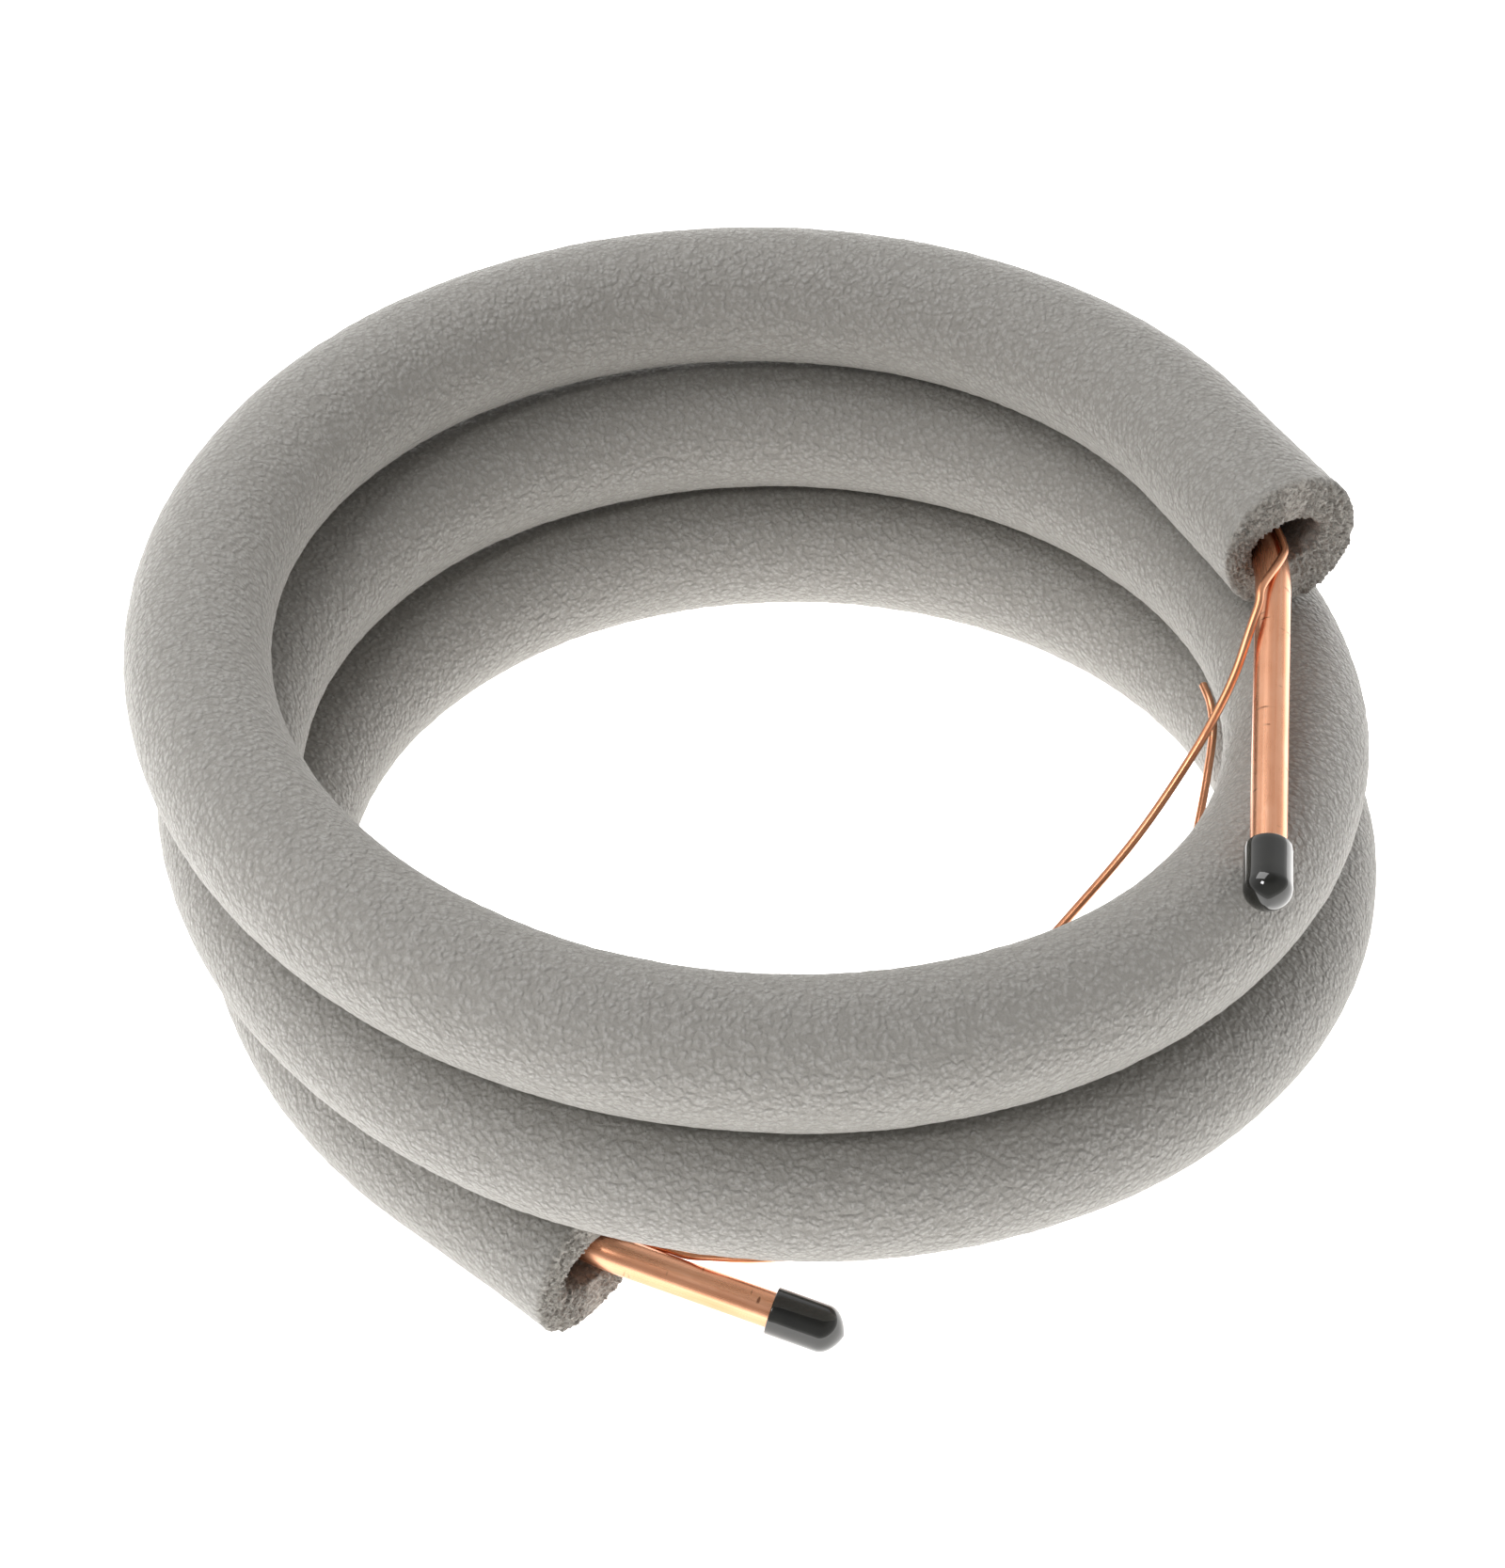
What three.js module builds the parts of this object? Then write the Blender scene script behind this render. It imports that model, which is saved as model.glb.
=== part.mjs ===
// A coiled refrigeration line: a copper suction tube with a thin capillary tube beside it,
// both inside one foam sleeve that is wound into a loose coil and lies flat.
// Sizes are in millimetres, +Z is up, and the coil rests on the plane z = 0.

import * as THREE from 'three';

// Foam sleeve
const sleeveOuter = 32;
const sleeveBore = 16;

// Suction tube and capillary tube
const suctionOuter = 8;
const suctionWall = 0.75;
const capillaryOuter = 2;
const capillaryBore = 0.8;

// Push-on end caps
const capWall = 1;
const capLength = 16.5;
const capGrip = 11.5;
const capDome = 5;

// Room left between pieces that touch
const seatGap = 0.3;
const turnGap = 0.6;

// Coil: its middle turn, and how it drifts and tightens from turn to turn
const coilRadius = 122;
const radiusDrift = -0.9;
const radiusSqueeze = -1.8;
const sideDrift = 6.7;
const frontDrift = -4.6;
const frontSqueeze = 2.9;

// Turning angles along the coil, in degrees, counted from the +X side and growing downward
const middleTurn = 495;
const upperCut = 9;
const upperStraight = 27.5;
const lowerStraight = 950.5;
const lowerCut = 970;

// Where the tubes lie in the bore, at the upper and at the lower end
const upperSeat = { inward: 2.1, up: -1.2, side: 72 };
const lowerSeat = { inward: 1.7, up: 2.2, side: 285 };

// Free ends of the suction tube: a bend just inside the sleeve, then a straight stretch
const bendInset = 2.7;
const bendRadius = 20;
const upperEnd = { swing: -31, slope: -4, straight: 104 };
const lowerEnd = { swing: 24, slope: -9.5, straight: 49.5 };

// Slant of the coil's axis when the coil lies unheld on a level floor
const leanBack = 2.89;
const leanSide = 2.81;

// Fineness of the meshes
const stationStep = 9;
const sleeveSides = 16;
const boreSides = 12;
const suctionSides = 10;
const suctionBoreSides = 8;
const capillarySides = 8;
const capillaryBoreSides = 5;
const capSides = 20;
const bendSteps = 5;
const tailSteps = 54;

const { degToRad, lerp } = THREE.MathUtils;
const pitch = sleeveOuter + turnGap;
const vector = (x, y, z) => new THREE.Vector3(x, y, z);

// Centre line of the sleeve at a turning angle. Beyond the two straight angles the
// line leaves the circle along its tangent, as the springy ends of the coil do.
function coilPoint(angle) {
  const turns = (angle - middleTurn) / 360;
  const early = Math.max(0, degToRad(upperStraight - angle));
  const late = Math.max(0, degToRad(angle - lowerStraight));
  const round = coilRadius + radiusDrift * turns + radiusSqueeze * turns ** 2;
  const radius = round * (1 / Math.cos(early) + 1 / Math.cos(late) - 1);
  return vector(
    sideDrift * turns + radius * Math.cos(degToRad(angle)),
    frontDrift * turns + frontSqueeze * turns ** 2 + radius * Math.sin(degToRad(angle)),
    -pitch * turns,
  );
}

// Direction of travel down the coil at a turning angle
function coilDirection(angle) {
  return coilPoint(angle + 0.5).sub(coilPoint(angle - 0.5)).normalize();
}

// A point beside the centre line: so far toward the coil's axis, and so far up
function beside(angle, inward, up) {
  const along = coilDirection(angle).setZ(0).normalize();
  return coilPoint(angle).add(vector(-along.y * inward, along.x * inward, up));
}

// Where the suction tube and the capillary tube lie at a turning angle. The capillary
// tube lies close beside the suction tube and winds slowly round it down the sleeve.
function seat(angle) {
  const share = (angle - upperCut) / (lowerCut - upperCut);
  const side = degToRad(lerp(upperSeat.side, lowerSeat.side, share));
  const apart = suctionOuter / 2 + capillaryOuter / 2 + seatGap;
  const inward = lerp(upperSeat.inward, lowerSeat.inward, share);
  const up = lerp(upperSeat.up, lowerSeat.up, share);
  return {
    suction: beside(angle, inward, up),
    capillary: beside(angle, inward + apart * Math.cos(side), up + apart * Math.sin(side)),
  };
}

// Turning angles of the cross-sections between two ends, all in step with each other
function stationAngles(from, to) {
  const angles = [from];
  const first = Math.ceil((from + stationStep / 3) / stationStep) * stationStep;
  for (let angle = first; angle < to - stationStep / 3; angle += stationStep) {
    angles.push(angle);
  }
  angles.push(to);
  return angles;
}

// A route through given points, with one extrusion step for each point
class Route extends THREE.Curve {
  constructor(points) {
    super();
    this.points = points;
  }

  getPoint(u, target = new THREE.Vector3()) {
    const at = u * (this.points.length - 1);
    const index = Math.min(Math.floor(at), this.points.length - 2);
    return target.lerpVectors(this.points[index], this.points[index + 1], at - index);
  }

  getUtoTmapping(u) {
    return u;
  }
}

// Corners of a regular outline
function ringCorners(radius, sides) {
  const corners = [];
  for (let side = 0; side < sides; side += 1) {
    const angle = (2 * Math.PI * side) / sides;
    corners.push(new THREE.Vector2(radius * Math.cos(angle), radius * Math.sin(angle)));
  }
  return corners;
}

// A tube of round section along a route
function tubeGeometry(points, outer, bore, outerSides, innerSides) {
  const section = new THREE.Shape(ringCorners(outer / 2, outerSides));
  section.holes.push(new THREE.Path(ringCorners(bore / 2, innerSides)));
  return new THREE.ExtrudeGeometry(section, {
    steps: points.length - 1,
    extrudePath: new Route(points),
  });
}

// An arc from one direction into another, and a straight stretch after it
function bendThenStraight(start, from, end) {
  const level = from.clone().setZ(0).normalize();
  level.applyAxisAngle(vector(0, 0, 1), degToRad(end.swing));
  const slope = degToRad(end.slope);
  const to = level.multiplyScalar(Math.cos(slope)).setZ(Math.sin(slope));
  const angle = from.angleTo(to);
  const across = from.clone().cross(to).normalize().cross(from);
  const points = [];
  for (let step = 1; step <= bendSteps; step += 1) {
    const turned = (angle * step) / bendSteps;
    const point = start.clone().addScaledVector(from, bendRadius * Math.sin(turned));
    points.push(point.addScaledVector(across, bendRadius * (1 - Math.cos(turned))));
  }
  const bendEnd = points.at(-1);
  const tip = bendEnd.clone().addScaledVector(to, end.straight);
  return { points: [...points, tip], bendEnd, tip, direction: to };
}

// A point where the capillary tube lies close beside a straight free end: so far along it,
// and at an angle from the coil's inner side toward the top
function aside(free, run, angle) {
  const inner = vector(-free.direction.y, free.direction.x, 0).normalize();
  const upper = free.direction.clone().cross(inner);
  const apart = suctionOuter / 2 + capillaryOuter / 2 + seatGap;
  return free.bendEnd.clone().addScaledVector(free.direction, run)
    .addScaledVector(inner, apart * Math.cos(degToRad(angle)))
    .addScaledVector(upper, apart * Math.sin(degToRad(angle)));
}

// Free ends of the suction tube
const upperStart = upperCut + bendInset;
const lowerStart = lowerCut - bendInset;
const upperFree = bendThenStraight(
  seat(upperStart).suction, coilDirection(upperStart).negate(), upperEnd);
const lowerFree = bendThenStraight(
  seat(lowerStart).suction, coilDirection(lowerStart), lowerEnd);

// Free ends of the capillary tube, as points chosen by hand beside the coil.
// The upper one crosses the suction tube and drops through the eye of the coil.
// The lower one follows the back of the suction tube, passes under the coil's front and
// climbs its right inner side.
const upperTail = [
  seat(upperCut).capillary,
  beside(369, 7.7, 35.5),
  beside(365.5, 8.4, 35.1),
  beside(363, 9.5, 34.3),
  beside(361, 10.8, 33.4),
  beside(358.5, 12.7, 31.6),
  beside(356.5, 14, 29.3),
  beside(352.5, 15.8, 25.2),
  beside(348.5, 18.2, 19.8),
  beside(344.5, 21.3, 12.7),
  beside(336, 28.6, -4.2),
  beside(326, 36.7, -22.3),
  beside(316, 42, -38),
  beside(303, 45, -53),
  beside(288, 44, -65),
];
const lowerTail = [
  beside(lowerCut, 4.6, -3),
  aside(lowerFree, 4.5, -42),
  aside(lowerFree, 9, -20),
  aside(lowerFree, 13.5, 6),
  aside(lowerFree, 19, 30),
  beside(625.5, 4.1, -28.5),
  beside(630, 7.2, -31.1),
  beside(638, 13, -34),
  beside(650, 22, -35),
  beside(665, 29, -33),
  beside(684, 32, -29),
  beside(702, 31, -25),
  beside(716, 27.5, -20),
  beside(726, 23.5, -10.9),
  beside(732, 19.3, 2.4),
  beside(736, 16.5, 12.2),
  beside(738.5, 15.8, 16),
  beside(742, 15, 16.8),
];

// A smooth stretch of the capillary tube from inside the bore to its free tip
function tailPoints(insideAngle, tail) {
  const inside = seat(insideAngle).capillary;
  const curve = new THREE.CatmullRomCurve3([inside, ...tail], false, 'centripetal');
  return curve.getSpacedPoints(tailSteps);
}

function sleeveMesh() {
  const points = stationAngles(upperCut, lowerCut).map(coilPoint);
  const foam = new THREE.MeshStandardMaterial({ color: 0x8f8d88, roughness: 0.95, metalness: 0 });
  const geometry = tubeGeometry(points, sleeveOuter, sleeveBore, sleeveSides, boreSides);
  return named('insulation_sleeve', geometry, foam);
}

function suctionMesh() {
  const inside = stationAngles(upperStart, lowerStart).map((angle) => seat(angle).suction);
  const points = [...upperFree.points.toReversed(), ...inside, ...lowerFree.points];
  const copper = new THREE.MeshStandardMaterial({ color: 0xc98a66, roughness: 0.3, metalness: 1 });
  const bore = suctionOuter - 2 * suctionWall;
  const geometry = tubeGeometry(points, suctionOuter, bore, suctionSides, suctionBoreSides);
  return named('suction_tube', geometry, copper);
}

function capillaryMesh() {
  const upper = tailPoints(upperStart + stationStep, upperTail).toReversed();
  const lower = tailPoints(lowerStart - stationStep, lowerTail);
  const angles = stationAngles(upperStart + stationStep, lowerStart - stationStep).slice(1, -1);
  const inside = angles.map((angle) => seat(angle).capillary);
  const points = [...upper, ...inside, ...lower];
  const copper = new THREE.MeshStandardMaterial({ color: 0xbd7650, roughness: 0.35, metalness: 1 });
  const geometry = tubeGeometry(
    points, capillaryOuter, capillaryBore, capillarySides, capillaryBoreSides);
  return named('capillary_tube', geometry, copper);
}

// A cup with a domed end, pushed over the end of the suction tube
function capMesh(name, free) {
  const innerRadius = (suctionOuter / 2 + seatGap) / Math.cos(Math.PI / capSides);
  const outerRadius = innerRadius + capWall;
  const profile = new THREE.Path();
  profile.moveTo(0, capGrip);
  profile.lineTo(innerRadius, capGrip);
  profile.lineTo(innerRadius, 0);
  profile.lineTo(outerRadius, 0);
  profile.lineTo(outerRadius, capLength - capDome);
  profile.bezierCurveTo(
    outerRadius, capLength - capDome / 2,
    outerRadius / 2, capLength - capDome / 8,
    0, capLength,
  );
  const geometry = new THREE.LatheGeometry(profile.getPoints(6), capSides);
  const vinyl = new THREE.MeshStandardMaterial({ color: 0x161613, roughness: 0.15, metalness: 0 });
  const cap = named(name, geometry, vinyl);
  cap.position.copy(free.tip).addScaledVector(free.direction, seatGap - capGrip);
  cap.quaternion.setFromUnitVectors(vector(0, 1, 0), free.direction);
  return cap;
}

function named(name, geometry, material) {
  const mesh = new THREE.Mesh(geometry, material);
  mesh.name = name;
  return mesh;
}

const coil = new THREE.Group();
coil.add(
  sleeveMesh(),
  suctionMesh(),
  capillaryMesh(),
  capMesh('upper_end_cap', upperFree),
  capMesh('lower_end_cap', lowerFree),
);
const axis = vector(-Math.tan(degToRad(leanSide)), -Math.tan(degToRad(leanBack)), 1).normalize();
coil.quaternion.setFromUnitVectors(axis, vector(0, 0, 1));

// The resting coil is set down on z = 0, with the middle of its outline over the origin
const part = new THREE.Group();
part.add(coil);
part.updateMatrixWorld(true);
const outline = new THREE.Box3().setFromObject(part, true);
const middle = outline.getCenter(vector(0, 0, 0));
coil.position.set(-middle.x, -middle.y, -outline.min.z);

export default part;
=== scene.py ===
import math

import bpy
import numpy as np
from mathutils import Matrix, Vector, noise


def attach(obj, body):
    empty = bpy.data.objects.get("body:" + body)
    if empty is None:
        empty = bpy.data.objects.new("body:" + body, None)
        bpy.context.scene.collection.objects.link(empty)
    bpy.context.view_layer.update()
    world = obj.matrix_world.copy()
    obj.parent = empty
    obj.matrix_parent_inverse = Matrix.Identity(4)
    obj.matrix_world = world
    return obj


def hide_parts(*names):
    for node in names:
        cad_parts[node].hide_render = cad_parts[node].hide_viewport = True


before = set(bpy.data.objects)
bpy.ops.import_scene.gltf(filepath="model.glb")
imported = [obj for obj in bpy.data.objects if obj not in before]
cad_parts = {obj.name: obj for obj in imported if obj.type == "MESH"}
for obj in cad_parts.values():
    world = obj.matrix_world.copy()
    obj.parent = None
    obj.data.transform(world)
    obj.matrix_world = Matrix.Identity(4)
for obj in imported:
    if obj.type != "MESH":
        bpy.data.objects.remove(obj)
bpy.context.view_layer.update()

# Sizes of the part, as its solids have them
SLEEVE_OUTER = 0.032
SLEEVE_BORE = 0.016
SUCTION_OUTER = 0.008
SUCTION_WALL = 0.00075
CAPILLARY_OUTER = 0.002
CAPILLARY_BORE = 0.0008
CAP_WALL = 0.001
CAP_LENGTH = 0.0165
CAP_GRIP = 0.0115
CAP_DOME = 0.005
SEAT_GAP = 0.0003
PITCH = SLEEVE_OUTER + 0.0006

# The coil: its middle turn, and how it drifts and tightens from turn to turn
COIL_RADIUS = 0.122
RADIUS_DRIFT = -0.0009
RADIUS_SQUEEZE = -0.0018
SIDE_DRIFT = 0.0067
FRONT_DRIFT = -0.0046
FRONT_SQUEEZE = 0.0029
MIDDLE_TURN = 495
UPPER_CUT, UPPER_STRAIGHT = 9, 27.5
LOWER_STRAIGHT, LOWER_CUT = 950.5, 970
UPPER_SEAT = (0.0021, -0.0012, 72)
LOWER_SEAT = (0.0017, 0.0022, 285)

# Free ends of the suction tube: swing, slope, straight stretch and the radius of the bend.
# The straight stretch is counted from the bend that the solids have.
BEND_INSET = 3
SOLID_BEND_RADIUS = 0.02
BEND_STEPS = 24
STRAIGHT_STEP = 0.004
UPPER_END = (-31, -4, 0.104, 0.06)
LOWER_END = (24, -9.5, 0.0495, 0.045)

# The foam reaches a little past the solid's ends, and the tubes press its bore into an oval:
# turning angle of the cut, half widths of the oval, its tilt, and its shift inward and up
UPPER_MOUTH = (7.7, 0.0093, 0.0057, -10, 0.0012, 0.0004)
LOWER_MOUTH = (970.9, 0.0095, 0.0064, 0, 0.0006, 0.0007)

# How the coil leans and where its middle lies at rest
LEAN_BACK = 2.89
LEAN_SIDE = 2.81
COIL_PLACE = Vector((0.0010808, -0.0040019, 0.0510695))

# Free ends of the capillary tube: turning angle, millimetres inward and millimetres up
UPPER_TAIL = (
    (363, 10.7, 34.9), (361, 11.4, 33.7),
    (358.5, 12.9, 31.6), (356.5, 14, 29.3), (352.5, 15.8, 25.2), (348.5, 18.2, 19.8),
    (344.5, 21.3, 12.7), (336, 28.6, -4.2), (326, 36.7, -22.3), (316, 42, -38),
    (303, 45, -53), (288, 44, -65),
)
LOWER_TAIL = (
    (625.5, 4.1, -28.5), (630, 7.2, -31.1), (638, 13, -34), (650, 22, -35), (665, 29, -33),
    (684, 32, -29), (702, 31, -25), (716, 27.5, -20), (726, 23.5, -10.9), (732, 19.3, 2.4),
    (736, 16.5, 12.2), (738.5, 15.8, 16), (742, 15, 16.8),
)

SPAN_STEPS = 24

# Where the capillary tube lies against the suction tube's bends: the bend's point that it lies
# beside, and the angle round it
UPPER_ASIDE = ((2, 72), (7, 71), (11, 68), (14, 62), (16, 59), (18, 60))
LOWER_ASIDE = ((3, -72), (9, -52), (14, -30), (18, -10), (22, 0), (25, 14), (26, 28), (27, 42))

# The camera of the photograph
CAMERA_PLACE = Vector((0.032399, -0.751034, 0.75481))
CAMERA_RIGHT = Vector((0.99945, 0.02555, -0.02093))
CAMERA_UP = Vector((-0.00251, 0.69037, 0.72345))
CAMERA_LENS = 103.74

lean_axis = Vector((-math.tan(math.radians(LEAN_SIDE)), -math.tan(math.radians(LEAN_BACK)), 1))
lean = lean_axis.rotation_difference(Vector((0, 0, 1)))
REST = Matrix.Translation(COIL_PLACE) @ lean.to_matrix().to_4x4()


# The coil's line
def coil_point(angle):
    turns = (angle - MIDDLE_TURN) / 360
    early = max(0.0, math.radians(UPPER_STRAIGHT - angle))
    late = max(0.0, math.radians(angle - LOWER_STRAIGHT))
    round_radius = COIL_RADIUS + RADIUS_DRIFT * turns + RADIUS_SQUEEZE * turns ** 2
    radius = round_radius * (1 / math.cos(early) + 1 / math.cos(late) - 1)
    a = math.radians(angle)
    return Vector((
        SIDE_DRIFT * turns + radius * math.cos(a),
        FRONT_DRIFT * turns + FRONT_SQUEEZE * turns ** 2 + radius * math.sin(a),
        -PITCH * turns,
    ))


def coil_direction(angle):
    return (coil_point(angle + 0.5) - coil_point(angle - 0.5)).normalized()


def beside(angle, inward, up):
    along = coil_direction(angle)
    along.z = 0
    along.normalize()
    return coil_point(angle) + Vector((-along.y * inward, along.x * inward, up))


def seat(angle):
    """Where the suction tube and the capillary tube lie in the bore at a turning angle."""
    share = (angle - UPPER_CUT) / (LOWER_CUT - UPPER_CUT)
    inward, up, side = (a + (b - a) * share for a, b in zip(UPPER_SEAT, LOWER_SEAT))
    side = math.radians(side)
    apart = SUCTION_OUTER / 2 + CAPILLARY_OUTER / 2 + SEAT_GAP
    return beside(angle, inward, up), beside(
        angle, inward + apart * math.cos(side), up + apart * math.sin(side))


def angles_between(first, last, step):
    count = max(1, round((last - first) / step))
    return [first + (last - first) * i / count for i in range(count + 1)]


def free_end(start, direction, end):
    """A bend out of the bore and a straight stretch: its points, its tip and its direction.

    The bend has its own radius, and keeps the straight stretch where the solids have it.
    """
    swing, slope, straight, radius = end
    level = Vector((direction.x, direction.y, 0)).normalized()
    level.rotate(Matrix.Rotation(math.radians(swing), 3, "Z"))
    slope = math.radians(slope)
    to = Vector((level.x * math.cos(slope), level.y * math.cos(slope), math.sin(slope)))
    turn = direction.angle(to)
    across = direction.cross(to).normalized().cross(direction)
    half = math.tan(turn / 2)
    corner = start + direction * (SOLID_BEND_RADIUS * half)
    tip = corner + to * (SOLID_BEND_RADIUS * half + straight)
    bend_start = corner - direction * (radius * half)
    points = []
    for i in range(BEND_STEPS + 1):
        t = turn * i / BEND_STEPS
        points.append(bend_start + direction * (radius * math.sin(t))
                      + across * (radius * (1 - math.cos(t))))
    run = tip - points[-1]
    count = round(run.length / STRAIGHT_STEP)
    points += [points[BEND_STEPS] + run * (i / count) for i in range(1, count + 1)]
    return points, tip, to


def aside(points, place, angle):
    """A point where the capillary tube lies close beside a free end.

    The angle counts from the free end's inner side toward its top.
    """
    to = (points[place + 1] - points[place]).normalized()
    inner = Vector((-to.y, to.x, 0)).normalized()
    upper = to.cross(inner)
    if upper.z < 0:
        upper = -upper
    apart = SUCTION_OUTER / 2 + CAPILLARY_OUTER / 2 + SEAT_GAP / 3
    angle = math.radians(angle)
    return points[place] + inner * (apart * math.cos(angle)) + upper * (apart * math.sin(angle))


def smooth_through(points, count):
    """Evenly spaced points on one smooth line through the given ones."""
    first = points[0] * 2 - points[1]
    last = points[-1] * 2 - points[-2]
    all_points = [first, *points, last]
    dense = []
    for i in range(1, len(all_points) - 2):
        p0, p1, p2, p3 = all_points[i - 1:i + 3]
        d0, d1, d2 = (max(1e-9, (b - a).length ** 0.5) for a, b in ((p0, p1), (p1, p2), (p2, p3)))
        m1 = (p1 - p0) / d0 - (p2 - p0) / (d0 + d1) + (p2 - p1) / d1
        m2 = (p2 - p1) / d1 - (p3 - p1) / (d1 + d2) + (p3 - p2) / d2
        m1, m2 = m1 * d1, m2 * d1
        for k in range(SPAN_STEPS):
            t = k / SPAN_STEPS
            dense.append(p1 * (2 * t ** 3 - 3 * t ** 2 + 1) + m1 * (t ** 3 - 2 * t ** 2 + t)
                         + p2 * (-2 * t ** 3 + 3 * t ** 2) + m2 * (t ** 3 - t ** 2))
    dense.append(points[-1].copy())
    line = np.array(dense)
    run = np.concatenate([[0], np.cumsum(np.linalg.norm(np.diff(line, axis=0), axis=1))])
    at = np.linspace(0, run[-1], count)
    return [Vector(np.interp(at, run, line[:, k])[i] for k in range(3)) for i in range(count)]


# Helpers for pieces
def deselect():
    if bpy.context.object and bpy.context.object.mode != "OBJECT":
        bpy.ops.object.mode_set(mode="OBJECT")
    bpy.ops.object.select_all(action="DESELECT")


def pick(obj):
    deselect()
    obj.select_set(True)
    bpy.context.view_layer.objects.active = obj


def apply_all(obj):
    pick(obj)
    for modifier in list(obj.modifiers):
        bpy.ops.object.modifier_apply(modifier=modifier.name)


def smooth(obj, angle=40):
    pick(obj)
    bpy.ops.object.shade_smooth_by_angle(angle=math.radians(angle))


def finish_piece(obj, material, slot, *nodes):
    obj.data.materials.clear()
    obj.data.materials.append(material)
    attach(obj, "root")
    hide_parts(*nodes)
    return obj


def tube(name, points, outer, wall, sides):
    """A drawn tube along points: a round curve made a mesh, given its wall and two open ends."""
    curve = bpy.data.curves.new(name, "CURVE")
    curve.dimensions = "3D"
    curve.twist_mode = "MINIMUM"
    curve.bevel_depth = outer / 2
    curve.bevel_resolution = sides // 4 - 1
    curve.resolution_u = 1
    spline = curve.splines.new("POLY")
    spline.points.add(len(points) - 1)
    for point, at in zip(spline.points, points):
        point.co = (*at, 1)
    obj = bpy.data.objects.new(name, curve)
    bpy.context.scene.collection.objects.link(obj)
    pick(obj)
    bpy.ops.object.convert(target="MESH")
    obj = bpy.context.object
    mesh = obj.data
    mesh.transform(REST)
    around = len(mesh.vertices) // len(points)
    run = [0.0]
    for a, b in zip(points, points[1:]):
        run.append(run[-1] + (b - a).length)
    while mesh.uv_layers:
        mesh.uv_layers.remove(mesh.uv_layers[0])
    uv = mesh.uv_layers.new(name="UVMap")
    for face in mesh.polygons:
        ring = [mesh.loops[k].vertex_index % around for k in face.loop_indices]
        wraps = max(ring) - min(ring) > 1
        for k in face.loop_indices:
            vertex = mesh.loops[k].vertex_index
            side = vertex % around
            if wraps and side == 0:
                side = around
            uv.data[k].uv = (run[vertex // around], side / around * math.pi * outer)
    pick(obj)
    bpy.ops.object.mode_set(mode="EDIT")
    bpy.ops.mesh.select_all(action="SELECT")
    bpy.ops.mesh.normals_make_consistent(inside=False)
    bpy.ops.object.mode_set(mode="OBJECT")
    thickness = obj.modifiers.new("Wall", "SOLIDIFY")
    thickness.thickness = wall
    thickness.offset = -1
    thickness.use_rim = True
    apply_all(obj)
    smooth(obj)
    return obj


# Materials
def new_material(name):
    material = bpy.data.materials.new(name)
    material.use_nodes = True
    tree = material.node_tree
    return material, tree, tree.nodes["Principled BSDF"]


def add(tree, kind, settings=None, **links):
    """A node with its settings; links name an input and give a value or another node's output."""
    node = tree.nodes.new(kind)
    for key, value in (settings or {}).items():
        setattr(node, key, value)
    for key, value in links.items():
        numbered = key[0] == "i" and key[1:].isdigit()
        socket = node.inputs[int(key[1:]) if numbered else key.replace("_", " ")]
        if isinstance(value, bpy.types.NodeSocket):
            tree.links.new(value, socket)
        else:
            socket.default_value = value
    return node


def ramp(tree, fac, *stops):
    node = add(tree, "ShaderNodeValToRGB", None, Fac=fac)
    bands = node.color_ramp.elements
    while len(bands) < len(stops):
        bands.new(0.5)
    for band, (place, colour) in zip(bands, stops):
        band.position = place
        band.color = (*colour, 1) if len(colour) == 3 else colour
    return node.outputs["Color"]


def noise_at(tree, vector, scale, detail=2.0, rough=0.5):
    return add(tree, "ShaderNodeTexNoise", None, Vector=vector, Scale=scale, Detail=detail,
               Roughness=rough).outputs["Fac"]


def math_node(tree, operation, a, b=0.5):
    return add(tree, "ShaderNodeMath", {"operation": operation}, i0=a, i1=b).outputs[0]


def mix_colour(tree, factor, a, b, kind="MIX"):
    node = add(tree, "ShaderNodeMix", {"data_type": "RGBA", "blend_type": kind}, i0=factor)
    for index, value in ((6, a), (7, b)):
        if isinstance(value, bpy.types.NodeSocket):
            tree.links.new(value, node.inputs[index])
        else:
            node.inputs[index].default_value = (*value, 1)
    return node.outputs[2]


def bump(tree, height, strength, distance, before=None):
    node = add(tree, "ShaderNodeBump", None, Height=height, Strength=strength, Distance=distance)
    if before is not None:
        tree.links.new(before, node.inputs["Normal"])
    return node.outputs["Normal"]


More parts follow.
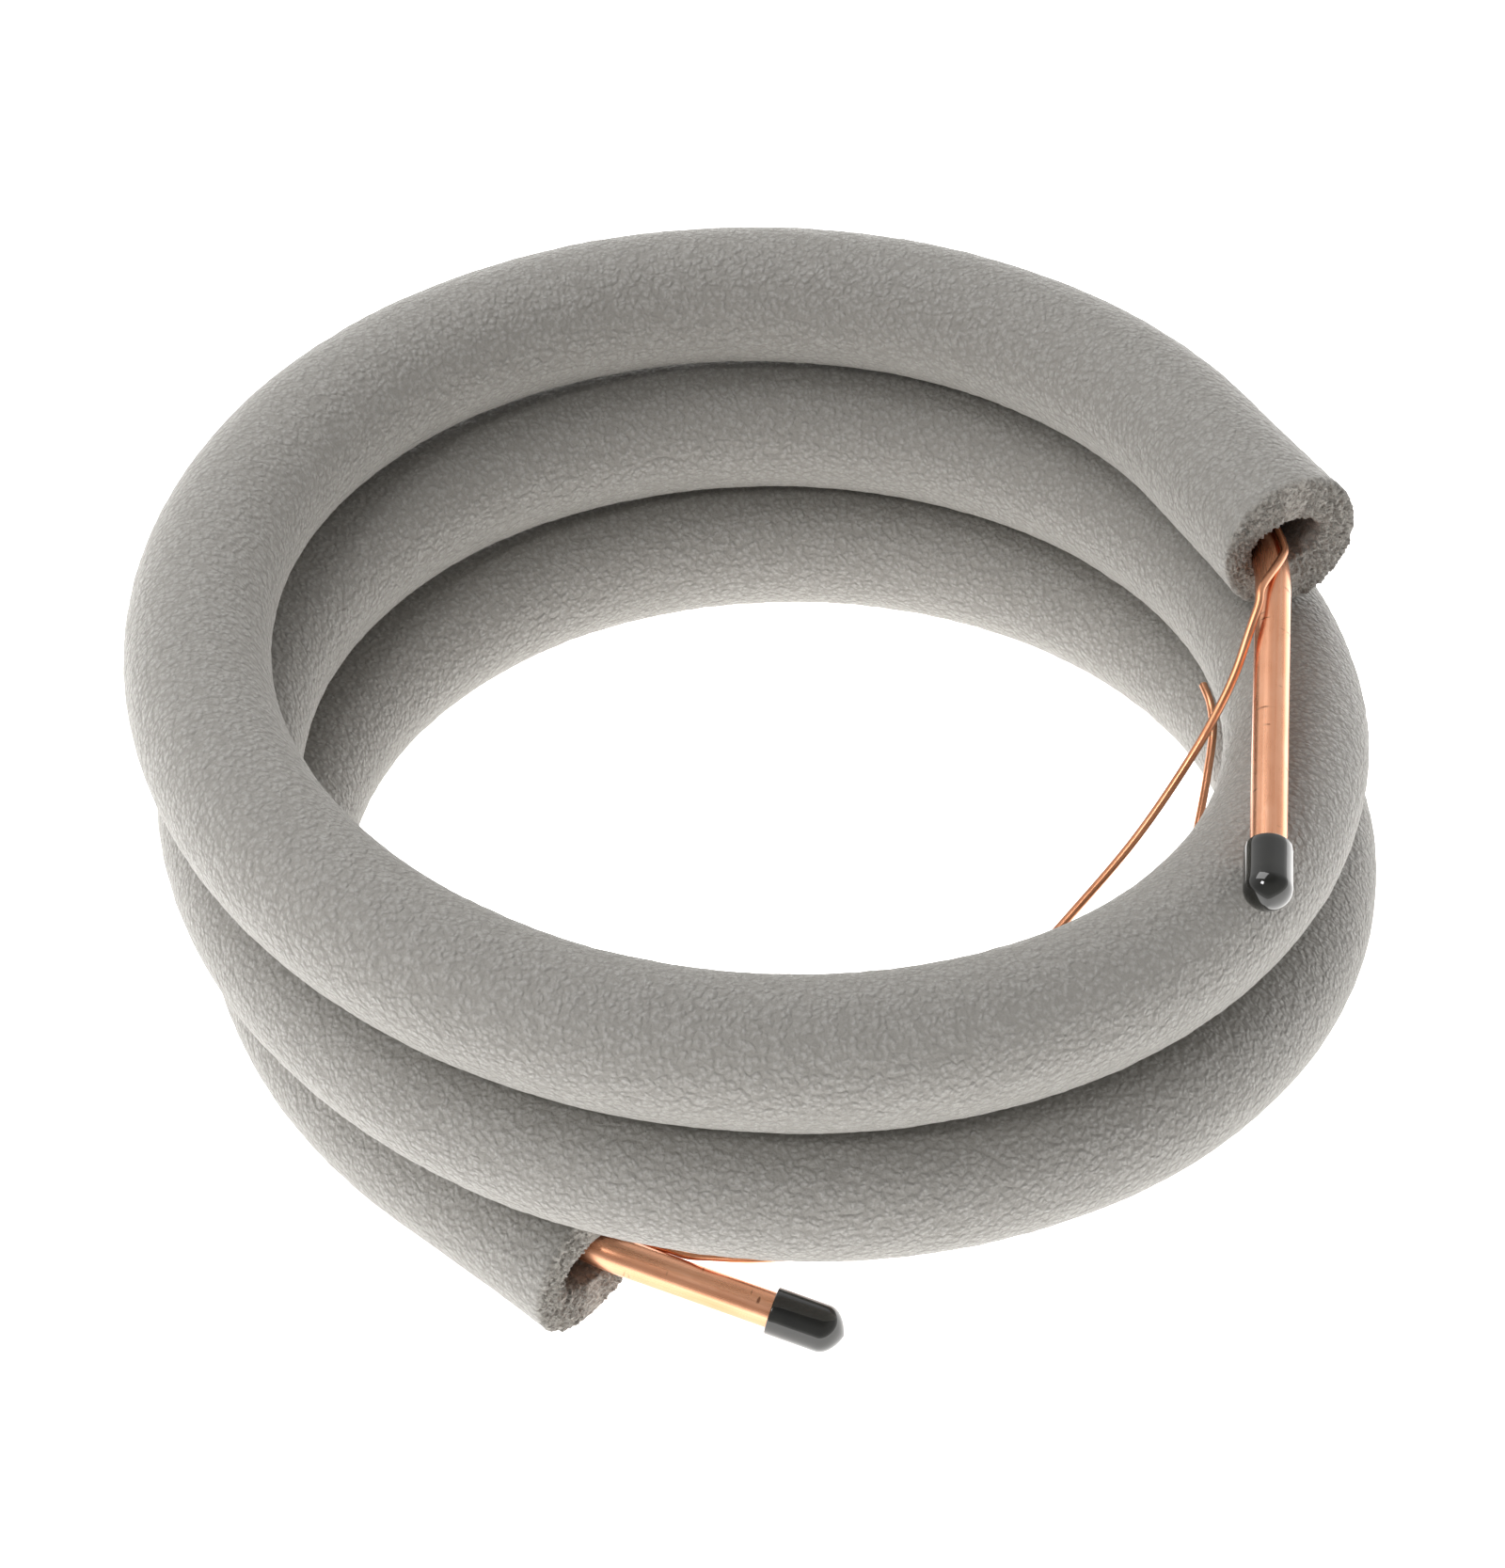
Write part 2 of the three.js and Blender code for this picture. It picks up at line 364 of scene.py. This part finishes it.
def foam_material():
    material, tree, skin = new_material("grey_foam")
    place = add(tree, "ShaderNodeTexCoord").outputs["Object"]

    def attribute(name):
        return add(tree, "ShaderNodeAttribute", {"attribute_name": name}).outputs["Fac"]

    cut, bore, inner_side = attribute("cut_face"), attribute("bore"), attribute("inner_side")
    drift = add(tree, "ShaderNodeTexNoise", None, Vector=place, Scale=420,
                Detail=1).outputs["Color"]
    moved = add(tree, "ShaderNodeVectorMath", {"operation": "SCALE"}, i0=drift, Scale=0.0016)
    bent = add(tree, "ShaderNodeVectorMath", None, i0=place, i1=moved.outputs[0]).outputs[0]
    cells = add(tree, "ShaderNodeTexVoronoi", {"feature": "SMOOTH_F1"}, Vector=bent, Scale=760,
                Smoothness=0.5).outputs["Distance"]
    patches = noise_at(tree, place, 30, 2)
    mottle = noise_at(tree, place, 800, 2, 0.6)
    grain = noise_at(tree, place, 1900, 3, 0.7)
    flat_run = add(tree, "ShaderNodeCombineXYZ", None, X=attribute("along"),
                   Y=attribute("across")).outputs[0]
    creased = add(tree, "ShaderNodeMapping", None, Vector=flat_run, Scale=(900, 230, 1)).outputs[0]
    creases = add(tree, "ShaderNodeTexNoise", {"noise_type": "RIDGED_MULTIFRACTAL"}, Vector=creased,
                  Scale=1, Detail=2).outputs["Fac"]
    # Painted crease shade: the skin's colour follows the pebbles' height, darker in the creases
    # between them and lighter on their tops, with random mottle and grain mixed in
    crease_shade_and_grain = math_node(tree, "ADD", math_node(tree, "MULTIPLY", cells, -0.9),
                        math_node(tree, "MULTIPLY", grain, 0.5))
    tone = math_node(tree, "ADD", crease_shade_and_grain, math_node(tree, "MULTIPLY", mottle, 0.5))
    base = ramp(tree, tone, (0.0, (0.225, 0.215, 0.196)), (0.22, (0.285, 0.275, 0.256)),
                (0.45, (0.325, 0.315, 0.296)))
    base = mix_colour(tree, math_node(tree, "MULTIPLY", patches, 0.3), base, (0.275, 0.26, 0.236))
    # The cut face is its own lighter, browner foam, and is darker in the hollows of its torn bump:
    # painted shade in the hollows
    torn = noise_at(tree, place, 900, 3, 0.7)
    cut_tone_and_hollow_shade = ramp(tree, torn, (0.36, (0.20, 0.18, 0.155)), (0.62, (0.47, 0.445, 0.405)))
    base = mix_colour(tree, cut, base, cut_tone_and_hollow_shade)
    # Painted shade: deep inside the bore the foam's colour is darkened almost to black
    base = mix_colour(tree, math_node(tree, "MULTIPLY", bore, 0.92), base, (0.018, 0.019, 0.0145))
    tree.links.new(base, skin.inputs["Base Color"])
    glint = ramp(tree, noise_at(tree, place, 1900, 1), (0.48, (0.7, 0.7, 0.7)),
                 (0.68, (0.3, 0.3, 0.3)))
    dull = mix_colour(tree, cut, glint, (0.95, 0.95, 0.95))
    tree.links.new(dull, skin.inputs["Roughness"])
    skin.inputs["Specular IOR Level"].default_value = 0.6
    skin.inputs["Sheen Weight"].default_value = 0.4
    skin.inputs["Sheen Roughness"].default_value = 0.4
    skin.inputs["Sheen Tint"].default_value = (1, 0.975, 0.94, 1)
    normal = bump(tree, math_node(tree, "MULTIPLY", cells, -1.0), 0.9, 0.0007)
    normal = bump(tree, grain, 0.8, 0.00035, normal)
    outer_side = ramp(tree, inner_side, (0.0, (1.0, 1.0, 1.0)), (0.6, (0.25, 0.25, 0.25)))
    folds = math_node(tree, "MULTIPLY", math_node(tree, "MULTIPLY", creases, outer_side),
                      math_node(tree, "SUBTRACT", 1.0, cut))
    normal = bump(tree, folds, 0.35, 0.00025, normal)
    coarse = math_node(tree, "MULTIPLY", torn, cut)
    normal = bump(tree, coarse, 1.0, 0.0018, normal)
    tree.links.new(normal, skin.inputs["Normal"])
    return material


def copper_material(name, colour, deep, pale_highlight, ticks=0.0):
    """Drawn copper: lengthwise bands (partly painted reflection stripes) and lines, dull patches,
    and small dark marks across.
    """
    material, tree, metal = new_material(name)
    along = add(tree, "ShaderNodeTexCoord").outputs["UV"]

    def stretched(run, side):
        return add(tree, "ShaderNodeMapping", None, Vector=along, Scale=(run, side, 1)).outputs[0]

    draw_lines = noise_at(tree, stretched(9, 1500), 1, 3, 0.6)
    bands = noise_at(tree, stretched(5, 420), 1, 2, 0.5)
    tarnish = noise_at(tree, stretched(60, 160), 1, 3, 0.55)
    base = ramp(tree, tarnish, (0.3, deep), (0.55, colour), (0.75, pale_highlight))
    # Lengthwise bands between the deep copper and the pale highlight colour: painted reflection
    # stripes, along with the tube's own uneven tone
    reflection_stripes = ramp(tree, bands, (0.36, deep), (0.50, colour), (0.64, pale_highlight))
    base = mix_colour(tree, 0.45, base, reflection_stripes)
    base = mix_colour(tree, 0.2, base, ramp(tree, draw_lines, (0.35, deep), (0.65, pale_highlight)))
    if ticks:
        marks = noise_at(tree, stretched(700, 160), 1, 1, 0.4)
        few = noise_at(tree, stretched(70, 130), 1, 0)
        marks = math_node(tree, "MULTIPLY", ramp(tree, marks, (0.69, (0, 0, 0)), (0.73, (1, 1, 1))),
                          ramp(tree, few, (0.5, (0, 0, 0)), (0.6, (1, 1, 1))))
        base = mix_colour(tree, math_node(tree, "MULTIPLY", marks, ticks), base, (0.16, 0.06, 0.03))
    tree.links.new(base, metal.inputs["Base Color"])
    metal.inputs["Metallic"].default_value = 1
    worn = math_node(tree, "ADD", math_node(tree, "MULTIPLY", draw_lines, 0.14), 0.15)
    worn = math_node(tree, "ADD", worn, math_node(tree, "MULTIPLY", tarnish, 0.12))
    tree.links.new(worn, metal.inputs["Roughness"])
    normal = bump(tree, draw_lines, 0.3, 0.00004)
    normal = bump(tree, bands, 0.25, 0.00012, normal)
    normal = bump(tree, tarnish, 0.2, 0.0001, normal)
    tree.links.new(normal, metal.inputs["Normal"])
    return material


def vinyl_material():
    material, tree, gloss = new_material("black_vinyl")
    place = add(tree, "ShaderNodeTexCoord").outputs["Object"]
    cloud = noise_at(tree, place, 200, 2)
    base = ramp(tree, cloud, (0.3, (0.0035, 0.0036, 0.0025)), (0.7, (0.009, 0.009, 0.006)))
    tree.links.new(base, gloss.inputs["Base Color"])
    wiped = ramp(tree, noise_at(tree, place, 900, 3), (0.35, (0.05,) * 3), (0.7, (0.11,) * 3))
    tree.links.new(wiped, gloss.inputs["Roughness"])
    gloss.inputs["Specular IOR Level"].default_value = 0.5
    gloss.inputs["Coat Weight"].default_value = 0.6
    gloss.inputs["Coat Roughness"].default_value = 0.04
    tree.links.new(bump(tree, cloud, 0.1, 0.0005), gloss.inputs["Normal"])
    return material


# Foam sleeve
SKIN_STEP = 0.00125
BORE_STEP = 0.006
FINE_STEP = 0.00042
FINE_REACH = 0.007
AROUND = 80
FOAM_RADIUS = SLEEVE_OUTER / 2 + 0.00025
FLARE = 0.0007
FLARE_REACH = 0.012
SHOULDER = 0.0017
PRESS_REACH = 0.016
RIM_ROUNDING = 0.0005
FACE_PUFF = 0.0004
FACE_RINGS = 22
RIM_PLACES = (0.0006, 0.0011)
TORN_REACH = 0.006
# Where the painted shade inside the bore begins, and the distance over which it darkens fully
BORE_SHADE_FROM, BORE_SHADE_OVER = 0.002, 0.011


def section(angle):
    """Centre of the sleeve, inward side, upward side and direction at a turning angle."""
    t = coil_direction(angle)
    inward = Vector((-t.y, t.x, 0)).normalized()
    up = inward.cross(-t).normalized()
    if up.z < 0:
        up = -up
    return coil_point(angle), inward, up, t


def oval_ring(angle, around, half_in, half_up, tilt=0.0, shift=(0.0, 0.0), push=0.0):
    """A ring of points round the sleeve's line, as an oval, tilted, shifted and pushed along."""
    centre, inward, up, t = (np.array(v) for v in section(angle))
    turn = np.linspace(0, 2 * math.pi, around, endpoint=False) - math.radians(tilt)
    x, y = half_in * np.cos(turn), half_up * np.sin(turn)
    c, s = math.cos(math.radians(tilt)), math.sin(math.radians(tilt))
    across = x * c - y * s + shift[0]
    upward = x * s + y * c + shift[1]
    return centre + t * push + np.outer(across, inward) + np.outer(upward, up)


def sleeve_rings():
    """Rings from the upper cut over the skin to the lower cut, and back through the bore.

    Each ring comes with how far it is a cut face and how deep in the bore it lies, from 0 to 1,
    the depth that sets the painted shade inside the bore, and with its distance along the sleeve.
    """
    fine = np.linspace(UPPER_MOUTH[0], LOWER_MOUTH[0], 4001)
    line = np.array([coil_point(a) for a in fine])
    run = np.concatenate([[0], np.cumsum(np.linalg.norm(np.diff(line, axis=0), axis=1))])
    length = run[-1]

    def angle_at(distance):
        return float(np.interp(distance, run, fine))

    def count_at(near, sparse):
        if near < FINE_REACH:
            return AROUND * 4
        if near < FINE_REACH * 2:
            return AROUND * 2
        return AROUND if near < 0.03 or sparse == AROUND else sparse

    def places(step):
        """Distances from one cut to the other, close together near both cuts."""
        near_end = list(np.arange(SHOULDER, FINE_REACH, FINE_STEP))
        near_end += list(np.arange(FINE_REACH, FINE_REACH * 2, FINE_STEP * 2))
        far = np.linspace(FINE_REACH * 2, length - FINE_REACH * 2,
                          round((length - FINE_REACH * 4) / step))
        return near_end + list(far) + [length - d for d in reversed(near_end)]

    rings = []

    def skin(distance, radius, cut):
        near = min(distance, length - distance)
        radius += FLARE * math.exp(-near / FLARE_REACH)
        rings.append((oval_ring(angle_at(distance), count_at(near, AROUND), radius, radius),
                      cut, 0.0, distance))

    shoulder = [math.radians(a) for a in range(15, 90, 15)]
    for a in shoulder:
        skin(SHOULDER * (1 - math.sin(a)), FOAM_RADIUS - SHOULDER * (1 - math.cos(a)), math.sin(a))
    rings.reverse()
    for distance in places(SKIN_STEP):
        skin(distance, FOAM_RADIUS, 0.0)
    for a in shoulder:
        skin(length - SHOULDER * (1 - math.sin(a)), FOAM_RADIUS - SHOULDER * (1 - math.cos(a)),
             math.sin(a))

    def face(mouth, sign, distance, shares):
        """The cut face, from its shoulder at share 0 to the rim of the bore at share 1."""
        angle, half_in, half_up, tilt, *shift = mouth
        edge = FOAM_RADIUS + FLARE - SHOULDER
        rim_in, rim_up = half_in + RIM_ROUNDING, half_up + RIM_ROUNDING
        for share in shares:
            puff = FACE_PUFF * math.sin(math.pi * min(1.0, share * 1.1)) - FACE_PUFF * share ** 6
            rings.append((oval_ring(
                angle, AROUND * 4, edge + (rim_in - edge) * share, edge + (rim_up - edge) * share,
                tilt, [v * share for v in shift], sign * puff), 1.0, 0.0, distance))

    shares = np.linspace(0, 1, FACE_RINGS)
    face(LOWER_MOUTH, 1, length, shares)
    for distance in reversed([*RIM_PLACES, *places(BORE_STEP),
                              *(length - d for d in reversed(RIM_PLACES))]):
        near = min(distance, length - distance)
        mouth = LOWER_MOUTH if distance > length / 2 else UPPER_MOUTH
        pressed = math.exp(-(near / PRESS_REACH) ** 2)
        _, half_in, half_up, tilt, *shift = mouth
        even = SLEEVE_BORE / 2
        rings.append((oval_ring(
            angle_at(distance), count_at(near, AROUND // 2), even + (half_in - even) * pressed,
            even + (half_up - even) * pressed, tilt, [v * pressed for v in shift]),
            max(0.0, 1 - near / TORN_REACH),
            min(1.0, max(0.0, (near - BORE_SHADE_FROM) / BORE_SHADE_OVER)), distance))
    face(UPPER_MOUTH, -1, 0.0, shares[::-1])
    return rings


def ring_faces(a, b):
    """Faces between two closed rings of vertices, one of which may have twice as many."""
    if len(a) == len(b):
        return [(a[i - 1], a[i], b[i], b[i - 1]) for i in range(len(a))]
    few, many = (a, b) if len(a) < len(b) else (b, a)
    return [(few[i], few[(i + 1) % len(few)], many[(2 * i + 2) % len(many)],
             many[2 * i + 1], many[2 * i]) for i in range(len(few))]


def foam_sleeve():
    rings = sleeve_rings()
    points = np.concatenate([points for points, *_ in rings])
    starts = np.cumsum([0] + [len(points) for points, *_ in rings])
    index = [list(range(a, b)) for a, b in zip(starts, starts[1:])]
    faces = []
    for a, b in zip(index, index[1:] + index[:1]):
        faces += ring_faces(a, b)
    mesh = bpy.data.meshes.new("foam_sleeve")
    mesh.from_pydata(points.tolist(), [], faces)
    obj = bpy.data.objects.new("foam_sleeve", mesh)
    bpy.context.scene.collection.objects.link(obj)
    pick(obj)
    bpy.ops.object.mode_set(mode="EDIT")
    bpy.ops.mesh.select_all(action="SELECT")
    bpy.ops.mesh.normals_make_consistent(inside=False)
    bpy.ops.object.mode_set(mode="OBJECT")
    sizes = [len(points) for points, *_ in rings]
    across = np.concatenate([np.sin(2 * math.pi * np.arange(n) / n) for n in sizes])
    values = {name: np.repeat([r[k] for r in rings], sizes)
              for name, k in (("cut_face", 1), ("bore", 2), ("along", 3))}
    values["across"] = across * FOAM_RADIUS
    values["inner_side"] = np.concatenate(
        [np.cos(2 * math.pi * np.arange(n) / n) for n in sizes])
    for name, value in values.items():
        mesh.attributes.new(name, "FLOAT", "POINT").data.foreach_set(
            "value", value.astype(np.float32))
    mesh.transform(REST)
    roughen(mesh, values["cut_face"], values["bore"], across)
    return obj


def roughen(mesh, cut_values, bore_values, across):
    """Pebbled skin, soft dents and torn cells at the cuts, as small moves along the normals.

    The skin is left even at the top and the bottom, where one turn lies on the next.
    """
    count = len(mesh.vertices)
    normals = np.empty(count * 3, np.float32)
    co = np.empty(count * 3, np.float32)
    mesh.vertices.foreach_get("co", co)
    mesh.vertex_normals.foreach_get("vector", normals)
    co, normals = co.reshape(-1, 3).astype(float), normals.reshape(-1, 3)
    quiet = np.clip((0.995 - np.abs(across)) / 0.03, 0.25, 1)
    height = np.empty(count)
    for i in range(count):
        p = Vector(co[i])
        cut = cut_values[i]
        h = noise.noise(p * 34 + Vector((7, 0, 0))) * 0.0002
        if bore_values[i] < 0.5:
            h += (noise.noise(p * 260) * 0.00012 + noise.noise(p * 480) * 0.00012) * (1 - cut * 0.5)
        if cut > 0:
            h += cut * (noise.noise(p * 720) * 0.0007 + noise.noise(p * 1500) * 0.0009)
        height[i] = h
    co += normals * (height * quiet)[:, None]
    co[:, 2] = np.maximum(co[:, 2], 0)
    mesh.vertices.foreach_set("co", co.astype(np.float32).ravel())
    mesh.update()


# Caps
CAP_LIP = 0.0016
CAP_DOME_STEPS = 15
LIP_ROUNDING = 0.00032


def end_cap(name, tip, direction):
    """A dipped cup: a ring drawn out to a wall, rounded into a nose and given its thickness."""
    inner = SUCTION_OUTER / 2 + SEAT_GAP
    outer = inner + CAP_WALL
    deselect()
    bpy.ops.mesh.primitive_circle_add(vertices=64, radius=outer, fill_type="NOTHING")
    obj = bpy.context.object
    obj.name = name
    obj.data.name = name
    bpy.ops.object.mode_set(mode="EDIT")
    bpy.ops.mesh.select_all(action="SELECT")
    profile = [(outer, z) for z in np.linspace(CAP_LIP, CAP_LENGTH - CAP_DOME, 5)]
    for k in range(1, CAP_DOME_STEPS):
        t = k / CAP_DOME_STEPS
        radius = outer * ((1 - t) ** 3 + 3 * t * (1 - t) ** 2) + outer / 2 * 3 * t ** 2 * (1 - t)
        z = ((CAP_LENGTH - CAP_DOME) * (1 - t) ** 3
             + (CAP_LENGTH - CAP_DOME / 2) * 3 * t * (1 - t) ** 2
             + (CAP_LENGTH - CAP_DOME / 8) * 3 * t ** 2 * (1 - t) + CAP_LENGTH * t ** 3)
        profile.append((radius, z))
    last_radius, last_z = outer, 0.0
    for radius, z in profile:
        bpy.ops.mesh.extrude_region_move(TRANSFORM_OT_translate={"value": (0, 0, z - last_z)})
        scale = radius / last_radius
        if abs(scale - 1) > 1e-9:
            bpy.ops.transform.resize(value=(scale, scale, 1), center_override=(0, 0, z))
        last_radius, last_z = radius, z
    bpy.ops.mesh.extrude_region_move(TRANSFORM_OT_translate={"value": (0, 0, CAP_LENGTH - last_z)})
    bpy.ops.mesh.merge(type="CENTER")
    bpy.ops.mesh.select_all(action="SELECT")
    bpy.ops.mesh.normals_make_consistent(inside=False)
    bpy.ops.object.mode_set(mode="OBJECT")
    wall = obj.modifiers.new("Wall", "SOLIDIFY")
    wall.thickness = CAP_WALL
    wall.offset = -1
    lip = obj.modifiers.new("Lip", "BEVEL")
    lip.width = LIP_ROUNDING
    lip.segments = 3
    lip.limit_method = "ANGLE"
    lip.angle_limit = math.radians(60)
    apply_all(obj)
    start = tip + direction * (SEAT_GAP - CAP_GRIP)
    turn = Vector((0, 0, 1)).rotation_difference(direction)
    obj.data.transform(REST @ Matrix.Translation(start) @ turn.to_matrix().to_4x4())
    smooth(obj)
    return obj


# Light, floor, camera
FLOOR_SIZE = 60
FLOOR_HEIGHT = -0.0002
LIGHT_AIM = (0, 0, 0.05)
WINDOW_PLACE, WINDOW_SIZE, WINDOW_POWER = (-0.46, -0.63, 0.99), 0.26, 3.2
OVERHEAD_PLACE, OVERHEAD_SIZE, OVERHEAD_POWER = (-0.4, 0.25, 1.1), 0.9, 8.5


def add_camera():
    bpy.ops.object.camera_add()
    camera = bpy.context.object
    camera.name = "photo_camera"
    back = CAMERA_RIGHT.cross(CAMERA_UP)
    turn = Matrix((CAMERA_RIGHT, CAMERA_UP, back)).transposed()
    camera.matrix_world = Matrix.Translation(CAMERA_PLACE) @ turn.to_4x4()
    camera.data.sensor_width = 36
    camera.data.lens = CAMERA_LENS
    camera.data.clip_start = 0.01
    camera.data.clip_end = 200
    bpy.context.scene.camera = camera


def add_floor():
    deselect()
    bpy.ops.mesh.primitive_plane_add(size=FLOOR_SIZE, location=(0, 0, FLOOR_HEIGHT))
    floor = bpy.context.object
    floor.name = "floor"
    material, tree, paper = new_material("pale_floor")
    paper.inputs["Base Color"].default_value = (0.9, 0.9, 0.9, 1)
    paper.inputs["Roughness"].default_value = 0.9
    paper.inputs["Emission Color"].default_value = (1, 0.99, 0.97, 1)
    paper.inputs["Emission Strength"].default_value = 1.7
    floor.data.materials.append(material)


def area_light(name, place, size, power):
    bpy.ops.object.light_add(type="AREA", location=place)
    light = bpy.context.object
    light.name = name
    light.data.shape = "SQUARE"
    light.data.size = size
    light.data.energy = power
    aim = Vector(LIGHT_AIM) - Vector(place)
    light.rotation_euler = aim.to_track_quat("-Z", "Y").to_euler()


def add_studio():
    world = bpy.data.worlds.new("studio")
    bpy.context.scene.world = world
    world.use_nodes = True
    tree = world.node_tree
    sky = tree.nodes["Background"]
    aim = add(tree, "ShaderNodeTexCoord").outputs["Generated"]
    height = add(tree, "ShaderNodeSeparateXYZ", None, Vector=aim).outputs["Z"]
    shades = ramp(tree, height, (0.0, (1.0, 0.995, 0.98)), (0.3, (0.8, 0.8, 0.8)),
                  (0.72, (0.6, 0.6, 0.605)), (0.92, (0.35, 0.35, 0.355)))
    toward_back = add(tree, "ShaderNodeVectorMath", {"operation": "DOT_PRODUCT"}, i0=aim,
                      i1=(-0.4, 0.85, 0.3)).outputs["Value"]
    side = ramp(tree, toward_back, (0.0, (0.55, 0.55, 0.55)), (0.6, (1, 1, 1)))
    horizon = ramp(tree, height, (0.0, (1, 1, 1)), (0.22, (0, 0, 0)))
    shades = mix_colour(tree, horizon, mix_colour(tree, 1.0, shades, side, "MULTIPLY"),
                        (1.0, 0.995, 0.98))
    tree.links.new(shades, sky.inputs["Color"])
    sky.inputs["Strength"].default_value = 1.15
    area_light("window_softbox", WINDOW_PLACE, WINDOW_SIZE, WINDOW_POWER)
    area_light("overhead_softbox", OVERHEAD_PLACE, OVERHEAD_SIZE, OVERHEAD_POWER)
    bpy.context.scene.view_settings.view_transform = "Standard"


# The object
add_camera()
add_floor()
add_studio()

foam = foam_material()
# The last colour of each copper is its highlight colour, which the lengthwise bands paint in as
# reflection stripes
copper = copper_material("drawn_copper", (0.83, 0.40, 0.235), (0.66, 0.265, 0.13),
                         (0.93, 0.56, 0.38), ticks=0.8)
thin_copper = copper_material("capillary_copper", (0.72, 0.32, 0.17), (0.5, 0.19, 0.09),
                              (0.85, 0.48, 0.31))
vinyl = vinyl_material()

upper_start, lower_start = UPPER_CUT + BEND_INSET, LOWER_CUT - BEND_INSET
upper_points, upper_tip, upper_way = free_end(
    seat(upper_start)[0], -coil_direction(upper_start), UPPER_END)
lower_points, lower_tip, lower_way = free_end(
    seat(lower_start)[0], coil_direction(lower_start), LOWER_END)
inside = [seat(a)[0] for a in angles_between(UPPER_STRAIGHT - 4, LOWER_STRAIGHT + 5, 2.5)]
suction = tube("suction_line", [*reversed(upper_points), *inside, *lower_points],
               SUCTION_OUTER, SUCTION_WALL, 40)
finish_piece(suction, copper, "copper", "suction_tube")

upper_tail = smooth_through(
    [seat(UPPER_STRAIGHT + 4)[1], seat(UPPER_STRAIGHT)[1]]
    + [aside(upper_points, place, angle) for place, angle in UPPER_ASIDE]
    + [beside(a, i / 1000, u / 1000) for a, i, u in UPPER_TAIL], 220)
lower_tail = smooth_through(
    [seat(LOWER_STRAIGHT - 4)[1], seat(LOWER_STRAIGHT)[1]]
    + [aside(lower_points, place, angle) for place, angle in LOWER_ASIDE]
    + [beside(a, i / 1000, u / 1000) for a, i, u in LOWER_TAIL], 240)
inside = [seat(a)[1] for a in angles_between(UPPER_STRAIGHT + 4, LOWER_STRAIGHT - 4, 3)][1:-1]
capillary = tube("capillary_line", [*reversed(upper_tail), *inside, *lower_tail],
                 CAPILLARY_OUTER, (CAPILLARY_OUTER - CAPILLARY_BORE) / 2, 16)
finish_piece(capillary, thin_copper, "capillary_copper", "capillary_tube")

finish_piece(end_cap("upper_cap", upper_tip, upper_way), vinyl, "vinyl", "upper_end_cap")
finish_piece(end_cap("lower_cap", lower_tip, lower_way), vinyl, "vinyl", "lower_end_cap")

sleeve = foam_sleeve()
pick(sleeve)
bpy.ops.object.shade_smooth()
finish_piece(sleeve, foam, "foam", "insulation_sleeve")
